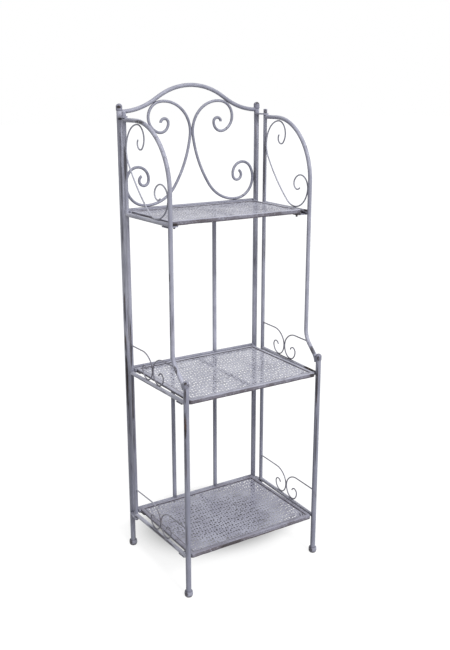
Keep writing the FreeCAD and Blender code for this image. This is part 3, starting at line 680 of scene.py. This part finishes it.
def rim_point(corner, angle, depth):
    """Point at an angle round a corner, at a depth inwards from the rim's outer face."""
    x, y, side_x, side_y, radius, _ = corner
    centre_x = x - side_x * radius
    centre_y = y - side_y * radius
    reach = radius - depth
    if depth < radius:
        return centre_x + reach * math.cos(angle), centre_y + reach * math.sin(angle)
    return centre_x + reach * side_x, centre_y + reach * side_y


def rim_rings(low, high, section):
    """The section all round the shelf, as rings of (x, y, down from the top)."""
    corners = rim_corners(low, high)
    rings = []
    for corner, following in zip(corners, corners[1:] + corners[:1]):
        first = corner[-1]
        for k in range(RIM_CORNER_STEPS + 1):
            angle = first + math.pi / 2 * k / RIM_CORNER_STEPS
            rings.append([(*rim_point(corner, angle, depth), down) for depth, down in section])
        last = first + math.pi / 2
        span = abs(following[0] - corner[0]) + abs(following[1] - corner[1])
        cuts = max(int(span / RIM_STEP), 2)
        for k in range(1, cuts):
            share = k / cuts
            ring = []
            for depth, down in section:
                ax, ay = rim_point(corner, last, depth)
                bx, by = rim_point(following, following[-1], depth)
                ring.append((ax + (bx - ax) * share, ay + (by - ay) * share, down))
            rings.append(ring)
    return rings


def uneven(rings, low, high):
    """The rings' points, with the wall lower along the two sides and waves towards its lip."""
    height = high.z - low.z
    middle = Vector(((low.x + high.x) / 2, (low.y + high.y) / 2))
    vertices = []
    for ring in rings:
        for x, y, down in ring:
            hang = max(down / height - WAVE_START, 0.0) / (1 - WAVE_START)
            beside = min(y - low.y - RIM_FLANGE, high.y - SIDE_CUT_REAR * RIM_FLANGE - y)
            if down > RIM_WALL:
                down -= (down - RIM_WALL) * SIDE_CUT * min(max(beside / RIM_FLANGE, 0.0), 1.0)
            place = Vector((x, y, high.z))
            wave = sum(noise.noise(place * scale) * size for scale, size in RIM_WAVES)
            inward = (middle - Vector((x, y))).normalized() * abs(wave) * hang
            z = high.z - down + wave * hang * WAVE_RISE + abs(wave) * hang
            vertices.append((x + inward.x, y + inward.y, z))
    return vertices


def shelf_rim(level, materials):
    """Angle rim with a rounded top edge, a bevelled inner edge and a slightly uneven lower lip."""
    low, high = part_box(level + "_shelf_rim")
    section = rim_section(high.z - low.z)
    rings = rim_rings(low, high, section)
    n = len(section)
    faces = []
    for i in range(len(rings)):
        j = (i + 1) % len(rings)
        for k in range(n):
            m = (k + 1) % n
            faces.append((i * n + k, i * n + m, j * n + m, j * n + k))
    piece = mesh_object(level + "_rolled_rim", uneven(rings, low, high), faces, materials,
                        level + "_shelf")
    # the lip and the flange's inner edge take the dark edge paint, with painted shade at the inner
    # edge; the outer wall takes painted shade
    for face in piece.data.polygons:
        strip = face.index % n
        if strip in DARK_STRIPS:
            face.material_index = RIM_DARK
        elif strip in WALL_STRIPS:
            face.material_index = RIM_OUTER
    bm = bmesh.new()
    bm.from_mesh(piece.data)
    bmesh.ops.remove_doubles(bm, verts=bm.verts, dist=SAME_POINT)
    bmesh.ops.recalc_face_normals(bm, faces=bm.faces)
    bm.to_mesh(piece.data)
    bm.free()
    piece.data.shade_smooth()
    piece.data.set_sharp_from_angle(angle=RIM_SHARP)
    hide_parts(level + "_shelf_rim")


# ---------------------------------------------------------------- dressing the CAD nodes

def along_axis(name):
    """The axis that a piece's brush marks follow."""
    if name.endswith(("rear_rail", "arched_top_rail")):
        return "x"
    if name.endswith(("side_bar", "gallery")):
        return "y"
    if name.endswith(("post", "leg", "inner_bar", "upright", "arched_side_rail")):
        return "z"
    return "none"


def dress_nodes():
    """One paint for each node of the frame; all the feet share theirs."""
    foot_paint = antique_paint("foot_paint", "none", *FOOT_LOOK)
    for name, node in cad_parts.items():
        wear, base = PLAIN_LOOK
        for ending, look in FRAME_LOOK.items():
            if name.endswith((ending, ending + "s")):
                wear, base = look
        if name.endswith(("foot", "feet")):
            material = foot_paint
        else:
            # legs, bars, uprights, posts and caps take painted shade below the middle shelf
            material = antique_paint(name + "_paint", along_axis(name), wear,
                                     WEAR_AND_SHADE_PLACES.get(name, ()), base,
                                     SHADE_BELOW_SHARE if name.endswith(SHADE_BELOW_PIECES) else 0.0)
        for slot in node.material_slots:
            slot.material = material


# ---------------------------------------------------------------- studio

def studio_world(scene):
    """Soft light from all round, brighter from one side; white where it is seen directly."""
    world = bpy.data.worlds.new("studio")
    scene.world = world
    tree = Tree(world, "ShaderNodeOutputWorld")
    source = tree.nodes.new("ShaderNodeTexCoord")
    facing = tree.vector_math("DOT_PRODUCT", source.outputs["Generated"], SKY_TOWARDS)
    ambient = tree.nodes.new("ShaderNodeBackground")
    ambient.inputs["Color"].default_value = WHITE
    tree.links.new(tree.ramp(facing, *SKY_SPREAD, SHADE, SKY), ambient.inputs["Strength"])
    white = tree.nodes.new("ShaderNodeBackground")
    white.inputs["Color"].default_value = WHITE
    white.inputs["Strength"].default_value = 1.0
    mix = tree.nodes.new("ShaderNodeMixShader")
    tree.links.new(tree.seen_directly(), mix.inputs[0])
    tree.links.new(ambient.outputs[0], mix.inputs[1])
    tree.links.new(white.outputs[0], mix.inputs[2])
    tree.links.new(mix.outputs[0], tree.output.inputs["Surface"])


def studio_floor(scene):
    half = FLOOR_HALF
    corners = [(-half, -half, 0), (half, -half, 0), (half, half, 0), (-half, half, 0)]
    mesh = bpy.data.meshes.new("studio_floor")
    mesh.from_pydata(corners, [], [(0, 1, 2, 3)])
    floor = bpy.data.objects.new("studio_floor", mesh)
    scene.collection.objects.link(floor)
    mesh.materials.append(floor_paint("studio_white"))


def key_light(scene):
    """Soft sun from the front."""
    data = bpy.data.lights.new("key", "SUN")
    data.energy = KEY * math.pi
    data.angle = KEY_SPREAD
    light = bpy.data.objects.new("key", data)
    scene.collection.objects.link(light)
    light.rotation_mode = "QUATERNION"
    light.rotation_quaternion = direction(0.0, KEY_ELEVATION).to_track_quat("Z", "Y")


def camera(scene):
    """Camera at the photo's place and angle."""
    data = bpy.data.cameras.new("photo_camera")
    data.sensor_width = SENSOR
    data.sensor_fit = "AUTO"
    data.lens = FOCAL_PIXELS * SENSOR / PHOTO_HEIGHT
    data.clip_start, data.clip_end = CAMERA_CLIP
    seen = bpy.data.objects.new("photo_camera", data)
    scene.collection.objects.link(seen)
    right = Vector((math.cos(CAMERA_AZIMUTH), math.sin(CAMERA_AZIMUTH), 0))
    back = direction(CAMERA_AZIMUTH, CAMERA_ELEVATION)
    up = back.cross(right)
    turn = Matrix((right, up, back)).transposed()
    seen.matrix_world = Matrix.Translation(CAMERA_PLACE) @ turn.to_4x4()
    scene.camera = seen


camera(bpy.context.scene)
dress_nodes()
edge_wear_and_shade_paint = antique_paint("edge_wear_and_shade_paint", "none", *EDGE_LOOK)
wall_shade_paint = antique_paint("wall_shade_paint", "none", *WALL_SHADE_LOOK)
ring_glaze_and_shade_paint = antique_paint("ring_glaze_and_shade_paint", "none", *RING_GLAZE_AND_SHADE_LOOK)
for level in LEVELS:
    sheet_paint = antique_paint(level + "_sheet_paint", "none", *SHEET_LOOK[level])
    rim_paint = antique_paint(level + "_rim_paint", "x", *RIM_LOOK[level])
    perforated_sheet(level, (sheet_paint, edge_wear_and_shade_paint, ring_glaze_and_shade_paint))
    shelf_rim(level, (rim_paint, edge_wear_and_shade_paint, wall_shade_paint))
bpy.context.scene.view_settings.view_transform = "Standard"
studio_world(bpy.context.scene)
studio_floor(bpy.context.scene)
key_light(bpy.context.scene)
